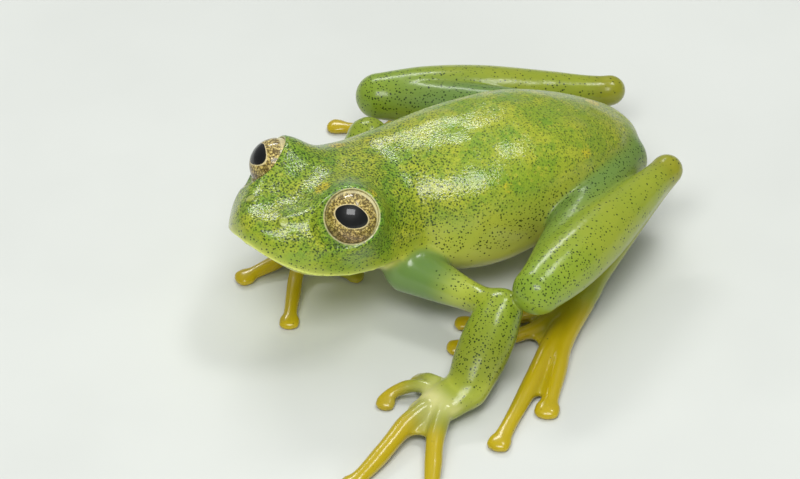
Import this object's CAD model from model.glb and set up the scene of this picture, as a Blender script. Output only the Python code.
import math
import time
import bpy
import numpy as np
from mathutils import Matrix, Vector


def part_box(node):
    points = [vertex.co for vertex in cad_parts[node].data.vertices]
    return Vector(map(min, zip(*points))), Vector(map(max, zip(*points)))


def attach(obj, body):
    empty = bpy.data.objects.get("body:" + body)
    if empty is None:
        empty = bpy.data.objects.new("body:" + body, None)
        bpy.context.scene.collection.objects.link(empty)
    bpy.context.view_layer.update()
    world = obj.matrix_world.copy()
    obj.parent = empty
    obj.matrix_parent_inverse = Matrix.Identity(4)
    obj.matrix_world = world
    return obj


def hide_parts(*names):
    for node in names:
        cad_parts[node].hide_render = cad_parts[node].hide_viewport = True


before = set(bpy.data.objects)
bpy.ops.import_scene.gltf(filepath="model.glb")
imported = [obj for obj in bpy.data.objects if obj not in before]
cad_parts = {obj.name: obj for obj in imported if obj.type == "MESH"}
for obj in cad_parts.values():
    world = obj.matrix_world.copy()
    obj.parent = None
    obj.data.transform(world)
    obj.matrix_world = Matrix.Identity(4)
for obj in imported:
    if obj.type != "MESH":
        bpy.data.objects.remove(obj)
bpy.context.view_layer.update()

startTime = time.time()


def seconds():
    return f"{time.time() - startTime:.1f} s"


print("frame loaded:", len(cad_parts), "nodes")

# The frog is shaped in millimetres, in the pose it was measured in, and moved onto the frame at the end.
mm = 0.001
skinGrid = {
    "step": 0.10,   # size of the cells that the skin is drawn from
}


def vec(*numbers):
    return np.array(numbers, float)


def unit(direction):
    return direction / np.linalg.norm(direction)


def turnedAxes(yawDegrees, pitchDegrees):
    # sideways to the frog's left, forward, and up
    yaw, pitch = math.radians(yawDegrees), math.radians(pitchDegrees)
    ahead = vec(math.sin(yaw), -math.cos(yaw), 0)
    side = vec(math.cos(yaw), math.sin(yaw), 0)
    forward = ahead * math.cos(pitch) + vec(0, 0, math.sin(pitch))
    up = -ahead * math.sin(pitch) + vec(0, 0, math.cos(pitch))
    return side, forward, up


head = {
    "centre": vec(-0.11, -7.18, 8.05),   # midway between the eyes
    "yaw": 14.2,
    "pitch": 13.7,
    # forward of the eyes, half width, level of the lips, rise of the crown, drop of the throat
    "sections": [
        (4.78, 0.35, -1.86, 0.52, 0.03),
        (4.64, 1.00, -1.99, 1.04, 0.06),
        (4.32, 1.70, -2.20, 1.55, 0.13),
        (3.8, 2.35, -2.44, 2.00, 0.27),
        (3.0, 2.95, -2.72, 2.42, 0.50),
        (2.0, 3.45, -2.95, 2.87, 0.82),
        (0.8, 3.92, -3.10, 3.55, 1.02),
        (-0.5, 4.22, -3.12, 4.08, 1.24),
        (-1.8, 4.42, -3.03, 4.18, 1.45),
        (-3.2, 4.44, -2.90, 4.16, 1.68),
    ],
    "lipOverhang": 0.42,
    "jawPower": 1.9,
}
trunk = {
    # along Y, sideways, level of the widest line, half width, rise, drop, yaw, pitch
    "sections": [
        (-3.50, -0.84, 4.19, 4.44, 4.22, 1.92, 14.2, 13.7),
        (-2.0, -0.62, 3.95, 4.68, 4.58, 2.20, 10.0, 9.5),
        (0.0, -0.38, 3.75, 5.00, 5.02, 2.38, 6.0, 6.0),
        (2.0, -0.14, 3.82, 5.12, 5.20, 2.45, 3.0, 3.0),
        (4.0, 0.0, 4.10, 5.00, 4.94, 2.50, 1.0, 0.0),
        (6.0, 0.0, 4.35, 4.75, 4.50, 2.48, 0.0, -3.0),
        (8.0, 0.0, 4.55, 4.22, 3.80, 2.45, 0.0, -6.0),
        (9.8, 0.0, 4.60, 3.50, 3.05, 2.20, 0.0, -8.0),
        (11.2, -0.04, 4.58, 2.72, 2.30, 1.85, 0.0, -8.0),
        (12.3, -0.08, 4.56, 1.85, 1.55, 1.35, 0.0, -8.0),
        (12.9, -0.1, 4.55, 1.05, 0.90, 0.80, 0.0, -8.0),
        (13.1, -0.1, 4.54, 0.35, 0.30, 0.28, 0.0, -8.0),
    ],
    "crownPower": 2.45,
    "bellyPower": 2.3,
}
eye = {
    "spacing": 3.12,
    "radius": 1.54,
    "axis": {1: (0.582, 0.647, 0.492), -1: (-0.582, 0.647, 0.492)},   # of the lids: sideways, forward, up
    "gaze": {1: (0.582, 0.647, 0.492), -1: (-0.42, 0.75, 0.51)},
    "lidRadius": 1.69,
    "lidSetback": 0.12,
    "lidPlane": 0.62,
    "gap": 0.012,
    "lidBlend": 1.75,
    "dish": {"from": 1.45, "curve": 0.9, "steep": 3.2},   # how the lid's plane rises round the ball
}
nostril = {"place": (1.36, 3.38, -0.35), "rim": 0.31, "squash": 0.5, "pit": 0.10, "pitOut": 0.20}
# places are sideways, forward and up from between the eyes
ridge = {
    "start": (2.15, 1.4, -0.46), "end": (1.5, 2.7, -0.58), "blend": 1.3,
    "profile": [(0, 0.48), (0.5, 0.46), (1, 0.30)],
}
cheek = {"place": (2.30, 1.9, -1.80), "radius": 0.92, "blend": 1.2}
headSide, headForward, headUp = turnedAxes(head["yaw"], head["pitch"])


def headPoint(side, forward, up):
    return head["centre"] + headSide * side + headForward * forward + headUp * up


def mirrored(sign, place):
    # a place on the left side of the head, or on the right side where sign is -1
    return headPoint(sign * place[0], place[1], place[2])


def smoothRows(rows, steps):
    # Catmull-Rom through rows of numbers
    rows = [np.array(row, float) for row in rows]
    last = len(rows) - 1
    out = []
    for i in range(last):
        a, b, c, d = rows[max(i - 1, 0)], rows[i], rows[i + 1], rows[min(i + 2, last)]
        for k in range(steps):
            t = k / steps
            out.append(0.5 * (2 * b + (c - a) * t + (2 * a - 5 * b + 4 * c - d) * t ** 2
                              + (3 * b - a - 3 * c + d) * t ** 3))
    out.append(rows[last])
    return np.array(out)


def smoothStep(value, low, high):
    t = np.clip((value - low) / (high - low), 0, 1)
    return t * t * (3 - 2 * t)


def smoothMin(a, b, k):
    if k <= 0:
        return np.minimum(a, b)
    reach = k * 1.5
    h = np.maximum(reach - np.abs(a - b), 0) / reach
    return np.minimum(a, b) - h * h * h * reach / 6


def smoothMax(a, b, k):
    return -smoothMin(-a, -b, k)


def length3(x, y, z):
    return np.sqrt(x * x + y * y + z * z)


def apart(x, y, z, place):
    return x - place[0], y - place[1], z - place[2]


def dot(offset, axis):
    return offset[0] * axis[0] + offset[1] * axis[1] + offset[2] * axis[2]


def crossAxes(ahead):
    # sideways and up for something that points ahead
    side = unit(np.cross(ahead, (0, 0, 1)))
    return side, np.cross(side, ahead)


def newForm(low, high, distance):
    return {"low": low, "high": high, "distance": distance}


# every form is a distance in millimetres, below zero inside, drawn on one grid
class Field:
    def __init__(self, low, high, step):
        self.low = np.array(low, float)
        self.step = step
        self.axes = [np.arange(lo, hi + step, step, dtype=np.float32) for lo, hi in zip(low, high)]
        self.values = np.full([len(a) for a in self.axes], 3.0, np.float32)

    def window(self, low, high):
        cut = []
        for axis, lo, hi in zip(self.axes, low, high):
            first = max(int((lo - axis[0]) / self.step) - 1, 0)
            last = min(int((hi - axis[0]) / self.step) + 2, len(axis))
            cut.append(slice(first, max(last, first + 1)))
        x, y, z = (axis[part] for axis, part in zip(self.axes, cut))
        return tuple(cut), x[:, None, None], y[None, :, None], z[None, None, :]

    def near(self, form, blend):
        reach = 1.5 * blend + 4 * self.step
        cut, x, y, z = self.window(form["low"] - reach, form["high"] + reach)
        return cut, form["distance"](x, y, z)

    def add(self, form, blend):
        cut, distance = self.near(form, blend)
        self.values[cut] = smoothMin(self.values[cut], distance, blend)

    def take(self, form, blend):
        cut, distance = self.near(form, blend)
        self.values[cut] = smoothMax(self.values[cut], -distance, blend)


def ballForm(centre, radius, squash=None):
    # a ball, or one squashed along the given axis to the given share
    def distance(x, y, z):
        offset = apart(x, y, z, centre)
        if squash is None:
            return length3(*offset) - radius
        axis, share = squash
        more = dot(offset, axis) * (1 / share - 1)
        return (length3(*(d + more * a for d, a in zip(offset, axis))) - radius) * share
    return newForm(centre - radius, centre + radius, distance)


def limbForm(start, end, profile, flatten=1.0):
    # a limb along a straight line; the profile holds shares of its length and the half width there
    start, end = np.array(start, float), np.array(end, float)
    length = np.linalg.norm(end - start)
    ahead = (end - start) / length
    side, up = crossAxes(ahead)
    rows = smoothRows(profile, 8)
    widest = rows[:, 1].max()

    def distance(x, y, z):
        offset = apart(x, y, z, start)
        along = dot(offset, ahead)
        share = np.clip(along / length, 0, 1)
        radius = np.interp(share, rows[:, 0], rows[:, 1])
        away = length3(dot(offset, side), dot(offset, up) / flatten, along - share * length)
        return (away - radius) * flatten
    return newForm(np.minimum(start, end) - widest, np.maximum(start, end) + widest, distance)


def pathForm(points, widths, heights):
    # a digit along a bent path, wider than high
    segments = []
    for a, b, *ends in zip(points, points[1:], widths, widths[1:], heights, heights[1:]):
        length = max(np.linalg.norm(b - a), 1e-6)
        ahead = (b - a) / length
        segments.append((a, ahead, *crossAxes(ahead), length, *ends))

    def distance(x, y, z):
        best = np.inf
        for a, ahead, side, up, length, w0, w1, h0, h1 in segments:
            offset = apart(x, y, z, a)
            along = dot(offset, ahead)
            share = np.clip(along / length, 0, 1)
            width = w0 + (w1 - w0) * share
            ratio = width / (h0 + (h1 - h0) * share)
            away = length3(dot(offset, side), dot(offset, up) * ratio, along - share * length)
            best = np.minimum(best, (away - width) / np.sqrt(ratio))
        return best
    reach = max(max(widths), max(heights))
    return newForm(points.min(0) - reach, points.max(0) + reach, distance)


def discForm(centre, ahead, halfWidth, shape):
    # the pad at a digit's tip: wide, with a blunt front edge
    ahead = unit(vec(ahead[0], ahead[1], ahead[2] * shape["tilt"]))
    side, up = crossAxes(ahead)
    wide, long, tall = (halfWidth * shape[key] for key in ("width", "length", "height"))
    outline, edge = shape["outlinePower"], shape["edgePower"]

    def distance(x, y, z):
        offset = apart(x, y, z, centre)
        across, along = np.abs(dot(offset, side)) / wide, np.abs(dot(offset, ahead)) / long
        high = np.abs(dot(offset, up)) / tall
        flat = (across ** outline + along ** outline) ** (1 / outline)
        return ((flat ** edge + high ** edge) ** (1 / edge) - 1) * tall
    reach = max(wide, long)
    return newForm(centre - reach, centre + reach, distance)


def webForm(outline, level, slope, thickness):
    # a thin sheet on a closed outline, whose middle height is level + slope . (x, y)
    outline = np.array(outline)
    ends = np.roll(outline, -1, 0)

    def distance(x, y, z):
        gap, inside = np.inf, False
        for (ax, ay), (bx, by) in zip(outline, ends):
            ex, ey = bx - ax, by - ay
            share = np.clip(((x - ax) * ex + (y - ay) * ey) / (ex * ex + ey * ey + 1e-9), 0, 1)
            gap = np.minimum(gap, (x - ax - ex * share) ** 2 + (y - ay - ey * share) ** 2)
            inside = inside ^ (((ay > y) != (by > y)) & (x < ex * (y - ay) / (ey + 1e-12) + ax))
        flat = np.where(inside, -1, 1) * np.sqrt(gap)
        height = np.abs(z - (level + slope[0] * x + slope[1] * y)) - thickness / 2
        return smoothMax(flat, height, 0.1)
    low, high = outline.min(0), outline.max(0)
    return newForm(vec(low[0], low[1], 0), vec(high[0], high[1], 2.0), distance)


def bodyStations():
    # columns: place 0-2, sideways 3-5, forward 6-8, up 9-11, width, rise, drop, overhang, forward of the eyes
    rows = []
    for forward, width, lip, rise, drop in head["sections"]:
        place = headPoint(0, forward, lip)
        rows.append([*place, *headSide, *headForward, *headUp, width, rise, drop, 0, forward])
    for along, sideways, level, width, rise, drop, yaw, pitch in trunk["sections"]:
        side, forward, up = turnedAxes(yaw, pitch)
        rows.append([sideways, along, level, *side, *forward, *up, width, rise, drop, 0, -7.5 - along])
    rows = smoothRows(rows, 8)
    for first in (3, 6, 9):
        rows[:, first:first + 3] /= np.linalg.norm(rows[:, first:first + 3], axis=1)[:, None]
    ahead = rows[:, 16]
    inFront = 1 + 0.5 * np.clip((ahead - 2.8) / 1.4, 0, 1)
    rows[:, 15] = head["lipOverhang"] * smoothStep(ahead, -4.2, -1.4) * inFront
    return rows


stations = bodyStations()
stationIndex = np.arange(len(stations), dtype=float)


def readStation(k, column):
    return np.interp(k, stationIndex, stations[:, column])


def bodyPlace(x, y, z):
    # which station a point belongs to, and how far sideways, up and beyond it the point lies there
    guess = np.interp(y + 0 * x + 0 * z, stations[:, 1], stationIndex)
    steps = np.gradient(stations[:, :3], axis=0)
    pace = np.maximum(-np.sum(steps * stations[:, 6:9], axis=1), 0.02)

    def offset(first):
        return sum((q - readStation(guess, c)) * readStation(guess, first + c) for c, q in enumerate((x, y, z)))
    for _ in range(5):
        guess = np.clip(guess - offset(6) / np.interp(guess, stationIndex, pace) * 0.9, 0, len(stations) - 1)
    return guess, offset(3), offset(9), offset(6)


def bodyField(x, y, z, step):
    guess, side, up, beyond = bodyPlace(x, y, z)
    width, rise, drop = (readStation(guess, c) for c in (12, 13, 14))
    overhang = readStation(guess, 15)

    def shell(halfWidth, height, power):
        flat = np.abs(side) / np.maximum(halfWidth, 0.05)
        tall = np.abs(up) / np.maximum(height, 0.05)
        outline = (flat ** power + tall ** power) ** (1 / power)
        value = halfWidth * halfWidth * (outline * outline - 1) + 3.0 * np.maximum(np.abs(beyond) - 0.02, 0)
        slope = np.sqrt(sum(g * g for g in np.gradient(value, step)))
        return value / np.maximum(slope, 0.15)
    over = shell(width, rise, trunk["crownPower"])
    jaw = np.clip(overhang / head["lipOverhang"], 0, 1)
    power = trunk["bellyPower"] + (head["jawPower"] - trunk["bellyPower"]) * jaw
    under = shell(np.maximum(width - overhang, 0.05), drop, power)
    over = np.maximum(over, -up)
    forward = readStation(guess, 16)
    mouth = np.clip((forward + 2.9) / 0.5, 0, 1) * np.clip((4.75 - forward) / 0.4, 0, 1)
    groove = np.sqrt(under ** 2 + (up + 0.12) ** 2) - 0.11 * mouth
    body = smoothMin(over, np.maximum(under, up), 0.06)
    return np.clip(np.where(mouth > 0, smoothMax(body, -groove, 0.05), body), -3, 3)


joints = {
    "left": {
        "shoulder": (3.0, -3.1, 3.1), "elbow": (8.72, -0.45, 3.15), "wrist": (11.6, -4.15, 1.25),
        "hip": (1.7, 11.3, 4.2), "knee": (9.8, 1.3, 4.65), "heel": (4.3, 12.75, 4.7),
        "ankle": (7.6, 5.3, 1.2),
    },
    "right": {
        "shoulder": (-3.2, -2.2, 3.9), "elbow": (-7.5, -0.14, 4.0), "wrist": (-3.9, -3.8, 1.2),
        "hip": (-1.7, 11.3, 4.2), "knee": (-10.4, 2.15, 4.25), "heel": (-5.2, 14.6, 3.4),
        "ankle": (-7.3, 7.6, 1.15),
    },
}
# shares of each limb's length and the half width there
limbs = {
    "upperArm": [(0, 1.40), (0.35, 1.12), (0.7, 0.84), (1, 0.98)],
    "forearm": [(0, 1.22), (0.3, 1.46), (0.7, 1.40), (1, 1.08)],
    "thigh": [(0, 1.5), (0.3, 1.65), (0.7, 1.5), (1, 1.2)],
    "shank": [(0, 1.40), (0.2, 1.74), (0.45, 1.72), (0.72, 1.30), (0.9, 0.96), (1, 0.88)],
    "tarsus": [(0, 0.88), (0.3, 0.82), (0.7, 0.84), (1, 0.9)],
}
# for each digit, the points of its path and its half width
fingers = {
    "left": [
        ([(10.9, -5.0, 1.0), (9.95, -5.25, 0.92), (9.1, -5.45, 0.6), (8.6, -5.6, 0.22)], 0.42),
        ([(11.10, -5.55, 0.95), (10.05, -5.91, 0.95), (9.50, -6.48, 0.85), (9.21, -7.13, 0.62),
          (9.17, -7.73, 0.42), (9.49, -8.09, 0.24)], 0.38),
        ([(11.67, -6.84, 0.95), (12.07, -8.09, 0.88), (12.74, -9.30, 0.72), (13.36, -10.48, 0.52),
          (13.90, -11.61, 0.38), (14.36, -12.82, 0.22)], 0.49),
        ([(12.4, -6.1, 0.95), (13.9, -7.35, 0.78), (15.4, -8.3, 0.46), (17.0, -9.3, 0.22)], 0.47),
    ],
    "right": [
        ([(-3.5, -4.3, 0.8), (-2.7, -3.9, 0.6), (-2.0, -3.2, 0.22)], 0.38),
        ([(-3.3, -4.7, 0.8), (-2.6, -5.2, 0.7), (-1.7, -5.1, 0.42), (-0.9, -4.4, 0.22)], 0.38),
        ([(-3.5, -5.0, 0.85), (-2.7, -7.1, 0.75), (-1.0, -8.4, 0.42), (0.87, -9.6, 0.22)], 0.41),
        ([(-3.9, -5.0, 0.85), (-4.0, -6.7, 0.7), (-4.0, -8.4, 0.42), (-3.95, -10.1, 0.22)], 0.44),
    ],
}
toes = {
    "left": [
        ([(7.4, 4.7, 0.8), (6.6, 3.2, 0.6), (6.0, 1.7, 0.22)], 0.36),
        ([(7.6, 4.5, 0.85), (7.4, 2.4, 0.65), (6.6, 0.6, 0.42), (5.6, -1.25, 0.22)], 0.38),
        ([(7.9, 4.4, 0.85), (8.5, 1.9, 0.7), (8.1, -0.4, 0.42), (7.2, -2.6, 0.22)], 0.40),
        ([(8.1, 4.7, 0.9), (10.1, 1.9, 0.75), (12.7, -1.1, 0.46), (15.35, -4.3, 0.22)], 0.47),
        ([(8.3, 5.0, 0.85), (10.2, 2.75, 0.7), (12.3, 1.0, 0.42), (14.35, -0.75, 0.22)], 0.51),
    ],
    "right": [
        ([(-7.1, 7.0, 0.8), (-6.2, 5.4, 0.6), (-5.6, 3.8, 0.22)], 0.36),
        ([(-7.4, 6.9, 0.85), (-7.2, 4.8, 0.7), (-6.9, 3.0, 0.42), (-6.7, 1.2, 0.22)], 0.38),
        ([(-7.8, 6.8, 0.9), (-8.6, 4.3, 0.75), (-9.2, 2.1, 0.42), (-9.8, -0.1, 0.22)], 0.40),
        ([(-8.3, 6.9, 0.9), (-10.1, 4.9, 0.75), (-11.9, 2.8, 0.42), (-13.9, 0.8, 0.22)], 0.42),
        ([(-8.4, 7.4, 0.85), (-10.7, 6.4, 0.7), (-12.6, 5.3, 0.42), (-14.3, 4.2, 0.22)], 0.42),
    ],
}
digitShape = {
    # share of the path, half width and half height against the digit's own
    "profile": [(0, 1.12, 1.05), (0.3, 1.08, 0.95), (0.48, 1.02, 0.9), (0.60, 1.05, 0.92),
                (0.75, 0.96, 0.8), (0.86, 0.92, 0.70), (0.94, 1.02, 0.62), (1.0, 0.92, 0.5)],
    "disc": {"width": 1.30, "length": 0.95, "height": 0.62, "back": 0.1, "level": 0.22,
             "tilt": 0.4, "outlinePower": 3.4, "edgePower": 2.2},
}
# first digit, second digit, how far out the web meets each, and how deep it curves in
webs = {
    "hand": [(0, 1, 0.45, 0.35, 0.3), (1, 2, 0.30, 0.25, 0.35), (2, 3, 0.46, 0.52, 0.45)],
    "foot": [(0, 1, 0.60, 0.45, 0.40), (1, 2, 0.60, 0.55, 0.40),
             (2, 3, 0.72, 0.62, 0.45), (3, 4, 0.74, 0.93, 0.12)],
    "thickness": 0.28,
}


def samplePath(path, count):
    rows = smoothRows(path, 12)
    lengths = np.concatenate([[0], np.cumsum(np.linalg.norm(np.diff(rows, axis=0), axis=1))])
    shares = np.linspace(0, 1, count)
    return np.stack([np.interp(shares * lengths[-1], lengths, rows[:, c]) for c in range(3)], 1)


def digitForms(path, halfWidth):
    points = samplePath(path, 17)
    rows = smoothRows(digitShape["profile"], 6)
    shares = np.linspace(0, 1, 17)
    widths, heights = (np.interp(shares, rows[:, 0], rows[:, c]) * halfWidth for c in (1, 2))
    disc = digitShape["disc"]
    ahead = unit(points[-1] - points[-3])
    centre = points[-1] - ahead * disc["back"]
    centre[2] = disc["level"]
    return [pathForm(points, widths, heights), discForm(centre, ahead, halfWidth, disc)]


def webBetween(pathA, pathB, shareA, shareB, depth):
    # a sheet between two digits, with a rim that curves in
    edgeA, edgeB = ([samplePath(path, 41)[int(round(40 * share * t))] for t in (0.05, 0.35, 0.65, 1.0)]
                    for path, share in ((pathA, shareA), (pathB, shareB)))
    root = (edgeA[0] + edgeB[0]) / 2
    tips = (edgeA[-1] + edgeB[-1]) / 2
    rim = []
    for t in np.linspace(0, 1, 9)[1:-1]:
        straight = edgeA[-1] * (1 - t) + edgeB[-1] * t
        sag = math.sin(math.pi * t) ** 0.8
        rim.append(straight + (root - tips) * depth * sag)
    outline = edgeA + rim + edgeB[::-1]
    xy = np.array([p[:2] for p in outline])
    heights = np.array([p[2] for p in outline])
    fit, *_ = np.linalg.lstsq(np.column_stack([xy, np.ones(len(xy))]), heights * 0.85, rcond=None)
    return webForm(xy, fit[2], fit[:2], webs["thickness"])


def eyeCentre(sign):
    return mirrored(sign, (eye["spacing"], 0, 0))


def eyeAxis(sign, kind="axis"):
    side, forward, up = eye[kind][sign]
    return unit(headSide * side + headForward * forward + headUp * up)


def formsOfFrog():
    forms = []
    for place in joints.values():
        forms.append(("thigh", limbForm(place["hip"], place["knee"], limbs["thigh"]), 0.55))
        forms.append(("upperArm", limbForm(place["shoulder"], place["elbow"], limbs["upperArm"]), 0.6))
    for place in joints.values():
        forms.append(("forearm", limbForm(place["elbow"], place["wrist"], limbs["forearm"], 0.92), 0.35))
        forms.append(("shank", limbForm(place["knee"], place["heel"], limbs["shank"], 0.95), 0.12))
        forms.append(("tarsus", limbForm(place["heel"], place["ankle"], limbs["tarsus"], 0.92), 0.16))
    for side, place in joints.items():
        ends = (("hand", fingers[side], "wrist", 1.28), ("foot", toes[side], "ankle", 1.05))
        for kind, digits, joint, halfWidth in ends:
            knuckles = np.mean([samplePath(path, 11)[3] for path, _ in digits], axis=0)
            knuckles[2] = 0.55
            core = [(0, halfWidth * 0.85), (0.5, halfWidth), (1, halfWidth * 0.8)]
            forms.append((kind, limbForm(place[joint], knuckles, core, 0.62), 0.5))
            for path, width in digits:
                for form in digitForms(path, width):
                    forms.append(("finger" if kind == "hand" else "toe", form, 0.22))
            for first, second, shareA, shareB, depth in webs[kind]:
                web = webBetween(digits[first][0], digits[second][0], shareA, shareB, depth)
                forms.append(("web", web, 0.22))
    return forms


frogForms = formsOfFrog()


def drawSkin():
    step = skinGrid["step"]
    field = Field((-15.2, -13.9, -0.4), (18.6, 16.6, 10.4), step)
    cut, x, y, z = field.window((-6.2, -13.4, 0.6), (6.2, 13.9, 10.2))
    body = bodyField(x.astype(float), y.astype(float), z.astype(float), step)
    field.values[cut] = np.minimum(field.values[cut], body.astype(np.float32))
    print("body drawn", seconds())

    for sign in (1, -1):
        centre, axis = eyeCentre(sign), eyeAxis(sign)
        field.add(ballForm(centre - axis * eye["lidSetback"], eye["lidRadius"]), eye["lidBlend"])
        # the ridge from the eye to the nostril, and the cheek
        start, end = mirrored(sign, ridge["start"]), mirrored(sign, ridge["end"])
        field.add(limbForm(start, end, ridge["profile"]), ridge["blend"])
        field.add(ballForm(mirrored(sign, cheek["place"]), cheek["radius"]), cheek["blend"])
    for _, form, blend in frogForms:
        field.add(form, blend)
    print("limbs, hands and feet drawn", seconds())

    for sign in (1, -1):
        centre, axis = eyeCentre(sign), eyeAxis(sign)

        def opening(x, y, z, centre=centre, axis=axis):
            # flat over the ball, and rising like a dish round it
            offset = apart(x, y, z, centre)
            along = dot(offset, axis)
            aside = np.sqrt(np.maximum(dot(offset, offset) - along * along, 0))
            flare = np.maximum(aside - eye["dish"]["from"], 0) ** 2
            level = eye["lidPlane"] + eye["dish"]["curve"] * flare
            return (level - along) / np.sqrt(1 + eye["dish"]["steep"] * flare)
        field.take(newForm(centre - 3.0, centre + 3.0, opening), 0.10)
        field.take(ballForm(centre, eye["radius"] + eye["gap"]), 0.05)
        rim = mirrored(sign, nostril["place"])
        outward = headSide * sign * 0.5 + headUp * 0.8 + headForward * 0.33
        field.add(ballForm(rim, nostril["rim"], (unit(outward), nostril["squash"])), 0.12)
        pit = rim + outward * nostril["pitOut"] + headForward * 0.1
        field.take(ballForm(pit, nostril["pit"]), 0.06)
    # soles, palms and pads lie flat on the floor
    field.values = np.maximum(field.values, -field.axes[2][None, None, :])
    return field


corners = [(i, j, k) for i in (0, 1) for j in (0, 1) for k in (0, 1)]


def meshFromField(field):
    # one point in every cell that the surface crosses, and a quad round every edge that it crosses
    values, step = field.values, field.step
    inside = values < 0
    count = np.zeros([n - 1 for n in values.shape], np.int8)
    sx, sy, sz = count.shape
    for i, j, k in corners:
        count += inside[i:i + sx, j:j + sy, k:k + sz]
    active = (count > 0) & (count < 8)
    cells = np.argwhere(active)
    number = np.full(count.shape, -1, np.int32)
    number[active] = np.arange(len(cells))
    total = np.zeros((len(cells), 3))
    hits = np.zeros(len(cells))
    for axis in range(3):
        for corner in corners:
            if corner[axis]:
                continue
            a = cells + corner
            b = a.copy()
            b[:, axis] += 1
            va, vb = values[tuple(a.T)], values[tuple(b.T)]
            found = (va < 0) != (vb < 0)
            share = np.where(found, va / np.where(found, va - vb, 1), 0)
            place = a.astype(float)
            place[:, axis] += share
            total[found] += place[found]
            hits[found] += 1
    points = total / hits[:, None]
    faces = []
    for axis in range(3):
        b, c = (axis + 1) % 3, (axis + 2) % 3
        near = [slice(None)] * 3
        far = [slice(None)] * 3
        near[axis], far[axis] = slice(0, -1), slice(1, None)
        first, second = inside[tuple(near)], inside[tuple(far)]
        where = np.argwhere(first != second)
        where = where[np.all([(where[:, i] > 0) & (where[:, i] < count.shape[i]) for i in (b, c)], axis=0)]
        ring = []
        for db, dc in ((1, 1), (0, 1), (0, 0), (1, 0)):
            cell = where.copy()
            cell[:, b] -= db
            cell[:, c] -= dc
            ring.append(number[tuple(cell.T)])
        quad = np.stack(ring, 1)
        outward = first[tuple(where.T)]
        quad[~outward] = quad[~outward][:, ::-1]
        faces.append(quad)
    return points, np.concatenate(faces)


def sampleField(field, grid):
    values = field.values
    base = np.clip(np.floor(grid).astype(int), 0, np.array(values.shape) - 2)
    t = grid - base
    total = 0
    for corner in corners:
        weight = np.prod(np.where(corner, t, 1 - t), axis=1)
        total = total + weight * values[tuple((base + corner).T)]
    return total


def relax(points, faces, field, rounds, share=0.5):
    # evens out the mesh and draws it back onto the field's surface
    edges = np.concatenate([faces[:, [i, (i + 1) % 4]] for i in range(4)])
    for _ in range(rounds):
        total = np.zeros_like(points)
        hits = np.zeros(len(points))
        for a, b in ((0, 1), (1, 0)):
            for c in range(3):
                total[:, c] += np.bincount(edges[:, a], points[edges[:, b], c], len(points))
            hits += np.bincount(edges[:, a], minlength=len(points))
        points = points * (1 - share) + total / hits[:, None] * share
        for _ in range(2):
            value = sampleField(field, points)
            slope = np.stack([sampleField(field, points + d) - sampleField(field, points - d)
                              for d in np.eye(3) * 0.5], 1)
            points = points - np.clip(value / np.maximum((slope ** 2).sum(1), 1e-4), -0.6, 0.6)[:, None] * slope
    return points


def build():
    field = drawSkin()
    points, faces = meshFromField(field)
    points = relax(points, faces, field, 3)
    print("skin meshed:", len(points), "points", len(faces), "faces", seconds())
    return field.low + points * field.step, faces


skinPoints, skinFaces = build()

# where the pose's coordinates lie in the frame: read from the left eye, which the frame keeps
eyeLow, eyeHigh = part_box("eye_left")
frameShift = np.array([(a + b) / 2 for a, b in zip(eyeLow, eyeHigh)]) - eyeCentre(1) * mm
frameShift[2] = 0.0


def toFrame(points):
    return np.asarray(points) * mm + frameShift


def newObject(name, data):
    made = bpy.data.objects.new(name, data)
    bpy.context.scene.collection.objects.link(made)
    return made


def newMesh(name, points, faces):
    mesh = bpy.data.meshes.new(name)
    points = np.asarray(points, np.float32)
    faces = np.asarray(faces)
    mesh.vertices.add(len(points))
    mesh.vertices.foreach_set("co", points.ravel())
    mesh.loops.add(faces.size)
    mesh.loops.foreach_set("vertex_index", faces.ravel().astype(np.int32))
    mesh.polygons.add(len(faces))
    mesh.polygons.foreach_set("loop_start", np.arange(0, faces.size, faces.shape[1], dtype=np.int32))
    mesh.update(calc_edges=True)
    mesh.validate()
    mesh.shade_smooth()
    return newObject(name, mesh)


skin = newMesh("skin", toFrame(skinPoints), skinFaces)


def closeTo(distance, soft):
    return np.exp(-np.maximum(distance, 0) / soft)


def zoneDistances(x, y, z):
    near = {}
    for zone, form, _ in frogForms:
        near[zone] = np.minimum(near.get(zone, np.inf), form["distance"](x, y, z))
    return near


def meshNormals(points, faces):
    a, b, c, d = (points[faces[:, i]] for i in range(4))
    flat = np.cross(c - a, d - b)
    total = np.zeros_like(points)
    for i in range(4):
        for axis in range(3):
            total[:, axis] += np.bincount(faces[:, i], flat[:, axis], len(points))
    return total / np.maximum(np.linalg.norm(total, axis=1), 1e-12)[:, None]


def nearest(points, places):
    return np.min([np.linalg.norm(points - place, axis=1) for place in places], axis=0)


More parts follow.
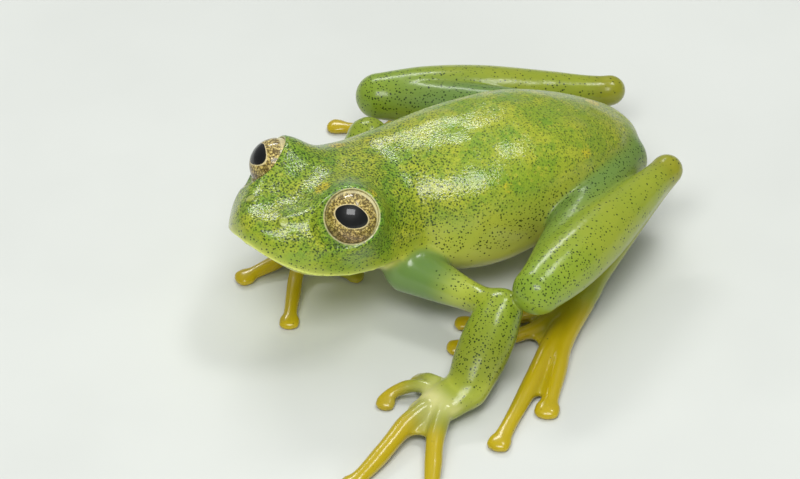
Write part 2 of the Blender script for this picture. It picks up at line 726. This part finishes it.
def paintZones(points, faces):
    # where each colour lies on the skin: one number for each zone at every point
    x, y, z = points.T
    normals = meshNormals(points, faces)
    near = zoneDistances(x, y, z)
    k, side, up, _ = bodyPlace(x, y, z)
    width, rise, drop, forward = (readStation(k, column) for column in (12, 13, 14, 16))
    around = np.degrees(np.arctan2(up / np.where(up > 0, rise, drop), np.abs(side) / width))
    limbNear = np.min([near[zone] for zone in near], axis=0)
    body = smoothStep(limbNear, -0.05, 0.45)
    isHead = smoothStep(forward, -5.8, -2.4)
    offHead = 1 - isHead
    on = {zone: closeTo(near[zone] - limbNear, 0.25) for zone in near}   # the limb that each point is on
    total = sum(on.values())
    on = {zone: share / total * (1 - body) for zone, share in on.items()}
    outer = smoothStep(normals[:, 2] + 0.35 * np.abs(normals[:, 0]), -0.15, 0.55)
    shoulder, elbow, wrist, hip, knee, heel = (
        nearest(points, [place[joint] for place in joints.values()])
        for joint in ("shoulder", "elbow", "wrist", "hip", "knee", "heel"))
    eyeNear = nearest(points, [eyeCentre(sign) for sign in (1, -1)])
    elbowSpot = closeTo(elbow - 1.0, 1.2)
    heelSpot = closeTo(heel - 0.9, 0.6)
    reached = smoothStep(wrist, 1.6, 5.0)

    crown = 0.25 * smoothStep(up, 0.05, 0.5) + 0.75 * smoothStep(up, 0.35, 1.7)
    cheekAndFlank = 0.7 * isHead * smoothStep(up, 0.06, 0.26) + offHead * smoothStep(around, -12, 12)
    under = offHead * (1 - smoothStep(around, -26, 40)) + isHead * (1 - smoothStep(up, -0.2, 0.5))
    zones = {
        "speckle": body * (isHead * crown + offHead * smoothStep(around, 12, 40)),
        "dots": np.clip(
            body * cheekAndFlank * 0.8
            + on["forearm"] * outer * smoothStep(wrist, 0.4, 1.6)
            + on["upperArm"] * outer * smoothStep(shoulder, 1.9, 3.6) * 0.6
            + on["shank"] * smoothStep(normals[:, 2], -0.5, 0.3) * (0.35 + 0.65 * closeTo(knee - 1.6, 1.6))
            + on["thigh"] * outer * 0.7, 0, 1),
        "belly": np.clip(body * under, 0, 1) * (1 - 0.8 * smoothStep(-forward, 15.5, 18.5)),
        "blue": np.clip(
            on["upperArm"] * (1 - smoothStep(shoulder, 2.0, 4.4))
            + on["thigh"] * (0.35 + 0.6 * smoothStep(normals[:, 2], 0.0, 0.6))
            + body * offHead * closeTo(shoulder - 1.2, 0.9) * (1 - smoothStep(around, -20, 10)), 0, 1),
        "upperArm": on["upperArm"] * smoothStep(shoulder, 1.8, 3.8) * (1 - smoothStep(elbow, 3.0, 1.0)),
        "forearm": on["forearm"] * (1 - elbowSpot * 0.6),
        "knee": on["shank"] * closeTo(knee - 1.0, 1.5) + on["forearm"] * elbowSpot * 0.6,
        "yellow": np.clip(
            on["finger"] * reached + on["web"] * 0.85 * reached + on["toe"]
            + on["hand"] * 0.3 * smoothStep(wrist, 0.5, 3.0) + on["foot"] * 0.5 + on["tarsus"] * 0.2
            + on["shank"] * heelSpot * 0.35 + on["tarsus"] * heelSpot * 0.3, 0, 1),
        "sole": np.clip((on["foot"] + on["tarsus"]) * (1 - smoothStep(z, 0.9, 2.4)) * 0.6, 0, 1),
        "palm": on["hand"] * smoothStep(normals[:, 2], -0.2, 0.6) * smoothStep(wrist, 1.1, 2.3),
        "lip": isHead * closeTo(np.abs(up - 0.02), 0.09) * smoothStep(forward, -2.8, -1.6) * body,
        "mouth": isHead * closeTo(np.abs(up + 0.13) - 0.05, 0.035)
        * smoothStep(forward, -3.0, -2.3) * (1 - smoothStep(forward, 4.2, 4.6)),
        "eyeGreen": isHead * closeTo(eyeNear - eye["lidRadius"], 0.7),
        "head": body * smoothStep(forward, -10.5, -2.5),
        "neck": body * closeTo(np.abs(forward + 3.8), 0.9)
        * smoothStep(around, -20, 5) * (1 - smoothStep(around, 35, 60)),
        "flankYellow": body * offHead * closeTo(hip - 3.4, 1.4) * smoothStep(around, -30, 0),
        "nostrilAway": nearest(points, [mirrored(sign, nostril["place"]) for sign in (1, -1)]),
    }
    zones["dull"] = zones["forearm"] * 0.65 + on["thigh"] * 0.5 + on["shank"] * 0.3
    opening = math.sqrt(eye["radius"] ** 2 - eye["lidPlane"] ** 2) + 0.05
    rims = []
    for sign in (1, -1):
        offset = points - eyeCentre(sign)
        along = offset @ eyeAxis(sign)
        radial = np.linalg.norm(offset - along[:, None] * eyeAxis(sign), axis=1)
        rims.append(np.hypot(along - eye["lidPlane"] + 0.02, radial - opening))
    zones["lidRimAway"] = np.min(rims, axis=0)
    return zones


def storeZones(piece, zones):
    for name, values in zones.items():
        layer = piece.data.attributes.new(name, "FLOAT", "POINT")
        layer.data.foreach_set("value", np.asarray(values, np.float32))


storeZones(skin, paintZones(skinPoints, skinFaces))
print("zones painted", seconds())


class Brush:
    # a short way to wire a material's nodes
    def __init__(self, name, **settings):
        self.material = bpy.data.materials.new(name)
        self.material.use_nodes = True
        self.tree = self.material.node_tree
        self.tree.nodes.clear()
        output = self.tree.nodes.new("ShaderNodeOutputMaterial")
        self.shader = self.tree.nodes.new("ShaderNodeBsdfPrincipled")
        self.tree.links.new(self.shader.outputs[0], output.inputs["Surface"])
        self.plugAll(**settings)

    def plug(self, socket, value):
        if isinstance(value, bpy.types.NodeSocket):
            self.tree.links.new(value, socket)
        elif socket.type == "RGBA":
            socket.default_value = (*value, 1.0)
        else:
            socket.default_value = value

    def plugAll(self, **values):
        for name, value in values.items():
            self.plug(self.shader.inputs[name.replace("_", " ")], value)

    def node(self, kind, plugs, out=0, **settings):
        made = self.tree.nodes.new("ShaderNode" + kind)
        for name, value in settings.items():
            setattr(made, name, value)
        for socket, value in plugs.items():
            self.plug(made.inputs[socket], value)
        return made.outputs[out]

    def math(self, operation, a, b=0.0, clamp=False):
        return self.node("Math", {0: a, 1: b}, operation=operation, use_clamp=clamp)

    def times(self, a, b):
        return self.math("MULTIPLY", a, b)

    def plus(self, a, b, clamp=False):
        return self.math("ADD", a, b, clamp)

    def minus(self, a, b, clamp=False):
        return self.math("SUBTRACT", a, b, clamp)

    def step(self, value, low, high):
        plugs = {"Value": value, "From Min": low, "From Max": high}
        return self.node("MapRange", plugs, interpolation_type="SMOOTHSTEP")

    def mix(self, share, a, b):
        return self.node("Mix", {0: share, 6: a, 7: b}, out=2, data_type="RGBA", clamp_factor=True)

    def lay(self, share, layer):
        # a colour over the ones before it
        self.ground = self.mix(share, self.ground, layer)

    def zone(self, name):
        return self.node("Attribute", {}, out=2, attribute_name=name)

    def millimetres(self):
        place = self.node("TexCoord", {}, out=3)
        return self.node("VectorMath", {0: place, "Scale": 1000.0}, operation="SCALE")

    def noise(self, place, size, detail=2.0, rough=0.5):
        return self.node("TexNoise", {"Vector": place, "Scale": 1 / size, "Detail": detail, "Roughness": rough})

    def dots(self, place, spacing):
        # distance to the nearest dot's centre, in cells, and a random number for each dot
        made = self.tree.nodes.new("ShaderNodeTexVoronoi")
        self.plug(made.inputs["Vector"], place)
        made.inputs["Scale"].default_value = 1 / spacing
        made.inputs["Randomness"].default_value = 0.9
        return made.outputs["Distance"], made.outputs["Color"]

    def bump(self, height, strength, distance, under=None):
        plugs = {"Height": height, "Strength": strength, "Distance": distance}
        if under is not None:
            plugs["Normal"] = under
        return self.node("Bump", plugs)


skinLook = {
    "backGreen": (0.235, 0.35, 0.018),
    "backLime": (0.40, 0.44, 0.03),
    "mottle": (0.10, 0.27, 0.018),
    "headGreen": (0.24, 0.33, 0.016),
    "belly": (0.60, 0.62, 0.11),
    "limb": (0.27, 0.32, 0.026),
    "upperArm": (0.40, 0.46, 0.06),
    "forearm": (0.175, 0.215, 0.014),
    "neck": (0.36, 0.37, 0.02),
    "blue": (0.125, 0.225, 0.05),
    "knee": (0.17, 0.32, 0.024),
    "yellow": (0.45, 0.34, 0.004),
    "handLime": (0.25, 0.27, 0.016),
    "sole": (0.14, 0.19, 0.014),
    "palm": (0.86, 0.80, 0.40),
    "mouth": (0.10, 0.15, 0.015),
    "lipEdge": (0.72, 0.80, 0.15),
    "eyeGreen": (0.10, 0.30, 0.025),
    "fleck": (0.46, 0.46, 0.04),
    "blotch": (0.60, 0.46, 0.02),
    "speck": (0.022, 0.060, 0.004),
    "backSpeck": (0.055, 0.13, 0.009),
    "dot": (0.005, 0.022, 0.003),
    "nostril": (0.31, 0.37, 0.05),
    "lidRim": (0.60, 0.56, 0.30),
    "speckSpacing": 0.122,   # millimetres between the fine specks of back and head
    "dotSpacing": 0.235,     # and between the dots of flank and legs
    "grain": 0.13,           # size of the skin's granules
    "grainDepth": 0.000018,
    "waveDepth": 0.00008,
    "swellDepth": 0.00045,
    "coat": 0.9,             # how wet the skin looks
    "roughness": 0.34,
}


def skinMaterial():
    look = skinLook
    brush = Brush("wet_green_skin", IOR=1.4, Specular_IOR_Level=0.22, Coat_Roughness=0.19, Coat_IOR=1.5)
    lay, step, zone = brush.lay, brush.step, brush.zone
    times, plus, minus = brush.times, brush.plus, brush.minus
    place = brush.millimetres()
    speckle, dots, yellow = zone("speckle"), zone("dots"), zone("yellow")
    broad = step(brush.noise(place, 2.2, 2.0), 0.36, 0.64)
    middle = step(brush.noise(place, 0.75, 3.0), 0.38, 0.62)
    fine = brush.noise(place, 0.16, 3.0, 0.6)
    mottle = step(brush.noise(place, 0.95, 3.0, 0.6), 0.50, 0.62)
    limbShare = minus(1.0, brush.math("MAXIMUM", speckle, times(dots, 0.5)), clamp=True)
    limbShare = times(limbShare, minus(1.0, times(zone("head"), 0.85)))
    brush.ground = brush.mix(broad, look["backGreen"], look["backLime"])
    # how much of each colour, laid over the ones before it
    for share, name in (
            (times(middle, 0.45), "headGreen"),
            (times(mottle, times(speckle, 0.42)), "mottle"),
            (limbShare, "limb"),
            (zone("upperArm"), "upperArm"),
            (zone("forearm"), "forearm"),
            (zone("belly"), "belly"),
            (times(zone("flankYellow"), 0.5), "handLime"),
            (times(zone("neck"), 0.5), "neck"),
            (zone("blue"), "blue"),
            (times(zone("eyeGreen"), 0.5), "eyeGreen"),
            (times(zone("knee"), 0.8), "knee"),
            (step(yellow, 0.0, 0.35), "handLime"),
            (step(yellow, 0.25, 0.95), "yellow"),
            (zone("sole"), "sole"),
            (times(zone("palm"), 0.9), "palm"),
            (step(zone("lip"), 0.2, 0.9), "lipEdge"),
            (times(zone("mouth"), 0.8), "mouth")):
        lay(share, look[name])

    # yellow flecks among the specks
    distance, chance = brush.dots(place, 0.36)
    fleck = times(step(distance, 0.42, 0.20), step(chance, 0.35, 0.6))
    lay(times(fleck, times(speckle, 0.5)), look["fleck"])
    # a few larger yellow blotches along the back
    distance, chance = brush.dots(place, 2.6)
    ragged = plus(distance, times(minus(fine, 0.5), 0.35))
    blotch = times(step(ragged, 0.24, 0.12), step(chance, 0.5, 0.62))
    lay(times(blotch, times(speckle, 0.75)), look["blotch"])

    # the dense fine specks, in two sizes
    onHead = times(zone("head"), speckle)
    speckColour = brush.mix(onHead, look["backSpeck"], look["speck"])
    for spacing, dark in ((look["speckSpacing"], 0.45), (look["speckSpacing"] * 1.45, 0.6)):
        distance, chance = brush.dots(place, spacing)
        size = plus(times(chance, 0.16), times(onHead, 0.10))
        speck = step(minus(distance, size), 0.26, 0.12)
        speck = times(speck, step(minus(speckle, times(chance, 0.6)), 0.0, 0.3))
        lay(times(speck, plus(dark, times(onHead, 0.14))), speckColour)
    patch = times(step(fine, 0.50, 0.64), plus(times(speckle, 0.2), times(onHead, 0.2)))
    lay(patch, look["speck"])

    # separate dark dots on flank, cheek and legs, in two sizes
    depth = minus(0.9, times(minus(speckle, onHead, clamp=True), 0.35))
    for spacing, radius in ((look["dotSpacing"], 0.054), (look["dotSpacing"] * 0.75, 0.039)):
        distance, chance = brush.dots(place, spacing)
        spot = step(distance, radius / spacing * 1.35, radius / spacing * 0.75)
        here = step(minus(dots, chance), -0.12, 0.0)
        lay(times(times(spot, here), depth), look["dot"])

    nostrilAway = zone("nostrilAway")
    lay(times(step(zone("lidRimAway"), 0.12, 0.07), 0.8), look["lidRim"])
    lay(times(step(nostrilAway, 0.38, 0.31), 0.45), look["dot"])
    lay(step(nostrilAway, 0.31, 0.27), look["nostril"])

    # granules on back and head, smooth wet skin elsewhere; depths are in metres
    distance, _ = brush.dots(place, look["grain"])
    rough = plus(0.12, times(speckle, 0.88))
    height = times(plus(minus(1.0, distance), times(fine, 0.7)), rough)
    relief = brush.bump(height, 0.7, look["grainDepth"])
    relief = brush.bump(brush.noise(place, 0.9, 2.0), 0.35, look["waveDepth"], relief)
    calm = minus(plus(0.15, times(speckle, 0.85)), times(onHead, 0.45))
    swell = times(brush.noise(place, 2.1, 1.0), calm)
    relief = brush.bump(swell, 0.6, look["swellDepth"], relief)
    brush.plugAll(
        Base_Color=brush.ground, Normal=relief, Coat_Normal=relief,
        Coat_Weight=minus(look["coat"], zone("dull")),
        Roughness=plus(look["roughness"], times(rough, 0.14)),
        Subsurface_Weight=0.15, Subsurface_Radius=(0.9, 1.0, 0.25), Subsurface_Scale=0.0004)
    return brush.material


skin.data.materials.append(skinMaterial())
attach(skin, "root")
fleshNodes = [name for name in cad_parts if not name.startswith("eye_")]
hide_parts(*fleshNodes)


eyeLook = {
    "pupilLong": 0.58, "pupilHigh": 0.405,   # shares of the eyeball's radius
    "irisEdge": 0.89,
    "gold": (0.58, 0.41, 0.06),
    "goldPale": (0.76, 0.62, 0.22),
    "brown": (0.035, 0.018, 0.005),
    "pink": (0.46, 0.27, 0.13),
    "cream": (0.80, 0.72, 0.40),
    "pupilRim": (0.72, 0.60, 0.32),
    "sclera": (0.40, 0.29, 0.11),
    "pupil": (0.002, 0.002, 0.002),
}


def eyeball(name, sign):
    rings, sectors = 72, 96
    forward = eyeAxis(sign, "gaze")
    across = unit(np.cross(headUp, forward))
    upward = np.cross(forward, across)
    local = [(0.0, 0.0, 1.0)]
    for i in range(1, rings):
        angle = math.pi * (i / rings) ** 1.15
        for j in range(sectors):
            turn = 2 * math.pi * j / sectors
            out = math.sin(angle)
            local.append((out * math.cos(turn), out * math.sin(turn), math.cos(angle)))
    local.append((0.0, 0.0, -1.0))
    local = np.array(local)
    faces = []
    for j in range(sectors):
        faces.append((0, 1 + j, 1 + (j + 1) % sectors))
        last = 1 + (rings - 2) * sectors
        faces.append((len(local) - 1, last + (j + 1) % sectors, last + j))
        for i in range(rings - 2):
            a, b = 1 + i * sectors, 1 + (i + 1) * sectors
            faces.append((a + j, b + j, b + (j + 1) % sectors, a + (j + 1) % sectors))
    # the clear cornea stands a little proud of the ball
    proud = 1 + 0.018 * smoothStep(local[:, 2], 0.55, 0.95)
    places = eyeCentre(sign) + eye["radius"] * proud[:, None] * (
        local[:, :1] * across + local[:, 1:2] * upward + local[:, 2:] * forward)
    mesh = bpy.data.meshes.new(name)
    mesh.from_pydata([tuple(p) for p in toFrame(places)], [], faces)
    mesh.shade_smooth()
    made = newObject(name, mesh)
    storeZones(made, {"across": local[:, 0] * sign, "upward": local[:, 1], "outward": local[:, 2]})
    return made


def eyeMaterial():
    look = eyeLook
    brush = Brush("golden_eye", Roughness=0.45, IOR=1.36, Coat_Weight=1.0, Coat_Roughness=0.03, Coat_IOR=1.38)
    lay, step, times, plus, minus = brush.lay, brush.step, brush.times, brush.plus, brush.minus
    across, upward, outward = (brush.zone(name) for name in ("across", "upward", "outward"))
    flat = brush.node("CombineXYZ", {0: across, 1: upward, 2: 0.0})
    low = plus(upward, 0.05)
    reach = brush.math("SQRT", plus(times(across, across), times(low, low)))
    # net of dark threads over the gold
    bent = brush.node("TexNoise", {"Vector": flat, "Scale": 5.0, "Detail": 2.0}, out=1)
    bent = brush.node("VectorMath", {0: bent, "Scale": 0.10}, operation="SCALE")
    warped = brush.node("VectorMath", {0: flat, 1: bent}, operation="ADD")
    threads = brush.node("TexVoronoi", {"Vector": warped, "Scale": 9.0}, feature="DISTANCE_TO_EDGE")
    fine = brush.node("TexNoise", {"Vector": warped, "Scale": 13.0, "Detail": 4.0, "Roughness": 0.7})
    crowded = plus(fine, times(brush.math("ABSOLUTE", upward), 0.07))
    net = times(step(threads, 0.22, 0.06), step(fine, 0.34, 0.52))
    net = brush.math("MAXIMUM", net, step(crowded, 0.50, 0.60))
    brush.ground = brush.mix(step(fine, 0.3, 0.6), look["goldPale"], look["gold"])
    lay(times(step(low, -0.35, -0.75), 0.7), look["pink"])
    lay(times(step(low, 0.30, 0.75), 0.6), look["goldPale"])
    lay(times(net, 0.85), look["brown"])
    # fine rings at the outer edge of the iris
    rings = brush.math("SINE", plus(times(reach, 120.0), times(fine, 5.0)))
    ringShare = times(step(rings, 0.1, 0.9), step(reach, 0.60, 0.72))
    lay(times(ringShare, 0.45), look["brown"])
    # the pupil is a lying oval with drawn-out corners, turned a little
    wide = minus(times(across, 0.99), times(upward, 0.14))
    high = plus(times(across, 0.14), times(upward, 0.99))
    wide = brush.math("DIVIDE", brush.math("ABSOLUTE", wide), look["pupilLong"])
    high = brush.math("DIVIDE", brush.math("ABSOLUTE", high), look["pupilHigh"])
    oval = plus(brush.math("POWER", wide, 1.5), brush.math("POWER", high, 2.1))
    lay(times(step(oval, 1.20, 1.10), 0.8), look["pupilRim"])
    lay(step(oval, 1.05, 0.99), look["pupil"])
    # cream ring round the iris, and then the ball's side
    edge = minus(look["irisEdge"], times(upward, 0.02))
    ring = step(minus(reach, edge), -0.015, 0.02)
    creamShare = plus(0.62, times(across, 0.5), clamp=True)
    lay(times(ring, creamShare), look["cream"])
    lay(step(outward, 0.37, 0.30), look["sclera"])
    brush.plugAll(Base_Color=brush.ground, Normal=brush.bump(fine, 0.25, 0.00003))
    return brush.material


eyeFinish = eyeMaterial()
for name, sign in (("eye_left", 1), ("eye_right", -1)):
    ball = eyeball(name + "_ball", sign)
    ball.data.materials.append(eyeFinish)
    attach(ball, "root")
    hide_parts(name)
print("eyes set in", seconds())


studio = {"floor": (0.66, 0.68, 0.64), "floorHalf": 1.5, "world": (0.80, 0.84, 0.86), "worldStrength": 0.26}


def floorMaterial():
    brush = Brush("pale_floor", Roughness=0.7)
    place = brush.millimetres()
    tone = brush.step(brush.noise(place, 14.0, 3.0), 0.3, 0.7)
    pale = studio["floor"]
    brush.plugAll(Base_Color=brush.mix(tone, pale, tuple(c * 0.96 for c in pale)))
    return brush.material


def makeFloor():
    mesh = bpy.data.meshes.new("floor")
    half = studio["floorHalf"]
    rim = [(-half, -half, 0), (half, -half, 0), (half, half, 0), (-half, half, 0)]
    mesh.from_pydata(rim, [], [(0, 1, 2, 3)])
    mesh.materials.append(floorMaterial())
    made = newObject("floor", mesh)


def softBox(name, place, target, size, power, glossy):
    light = bpy.data.lights.new(name, "AREA")
    light.shape = "RECTANGLE"
    light.size, light.size_y = size
    light.energy = power
    made = newObject(name, light)
    made.location = place
    made.visible_glossy = glossy
    made.rotation_euler = (target - place).to_track_quat("-Z", "Y").to_euler()


camera = {
    "azimuth": 62.63, "elevation": 39.74, "roll": -1.47,   # degrees
    "distance": 216.95,                                    # millimetres from the pose's origin
    "pixelsPerMm": 17.59, "centre": (433.34, 263.27),      # in a picture of this many pixels
    "picture": (800, 479), "sensor": 36,
}


def makeCamera():
    azimuth, elevation, roll = (math.radians(camera[key]) for key in ("azimuth", "elevation", "roll"))
    level = math.cos(elevation)
    back = Vector((math.sin(azimuth) * level, -math.cos(azimuth) * level, math.sin(elevation)))
    right = Vector((math.cos(azimuth), math.sin(azimuth), 0))
    up = back.cross(right)
    turned = right * math.cos(roll) + up * math.sin(roll)
    upright = up * math.cos(roll) - right * math.sin(roll)
    data = bpy.data.cameras.new("photo_camera")
    pixelsWide, pixelsHigh = camera["picture"]
    data.sensor_width = camera["sensor"]
    data.lens = camera["sensor"] * camera["pixelsPerMm"] * camera["distance"] / pixelsWide
    data.shift_x = (pixelsWide / 2 - camera["centre"][0]) / pixelsWide
    data.shift_y = (camera["centre"][1] - pixelsHigh / 2) / pixelsWide
    data.clip_start, data.clip_end = 0.005, 20
    made = newObject("photo_camera", data)
    frameMatrix = Matrix((turned, upright, back)).transposed().to_4x4()
    frameMatrix.translation = Vector(toFrame(np.array(back) * camera["distance"]))
    made.matrix_world = frameMatrix
    bpy.context.scene.camera = made
    return right, up, back


# metres from the frog to the camera's right, up and back, then the sheet's size and its power
lights = {
    "key_window": {"place": (-0.015, 0.065, 0.202), "size": (0.12, 0.08), "power": 0.27, "glossy": True},
    "top_sheet": {"place": (0.08, 0.195, 0.12), "size": (0.07, 0.045), "power": 0.12, "glossy": True},
    "back_strip": {"place": (-0.04, 0.235, -0.03), "size": (0.10, 0.03), "power": 0.14, "glossy": True},
    "left_fill": {"place": (-0.30, 0.03, 0.08), "size": (0.16, 0.16), "power": 0.08, "glossy": False},
    "top_fill": {"place": (0, 0.24, 0.08), "size": (0.20, 0.16), "power": 0.135, "glossy": False},
    "front_fill": {"place": (0.05, -0.16, 0.24), "size": (0.26, 0.16), "power": 0.37, "glossy": False},
}


def makeLights(right, up, back):
    target = Vector(toFrame(vec(0, 0, 4)))
    for name, light in lights.items():
        sideways, higher, nearer = light["place"]
        place = target + right * sideways + up * higher + back * nearer
        softBox(name, place, target, light["size"], light["power"], light["glossy"])
    world = bpy.data.worlds.new("studio")
    world.use_nodes = True
    background = world.node_tree.nodes["Background"]
    background.inputs["Color"].default_value = (*studio["world"], 1.0)
    background.inputs["Strength"].default_value = studio["worldStrength"]
    bpy.context.scene.world = world
    bpy.context.scene.view_settings.view_transform = "Standard"


makeFloor()
makeLights(*makeCamera())
print("stage, lights and camera set", seconds())
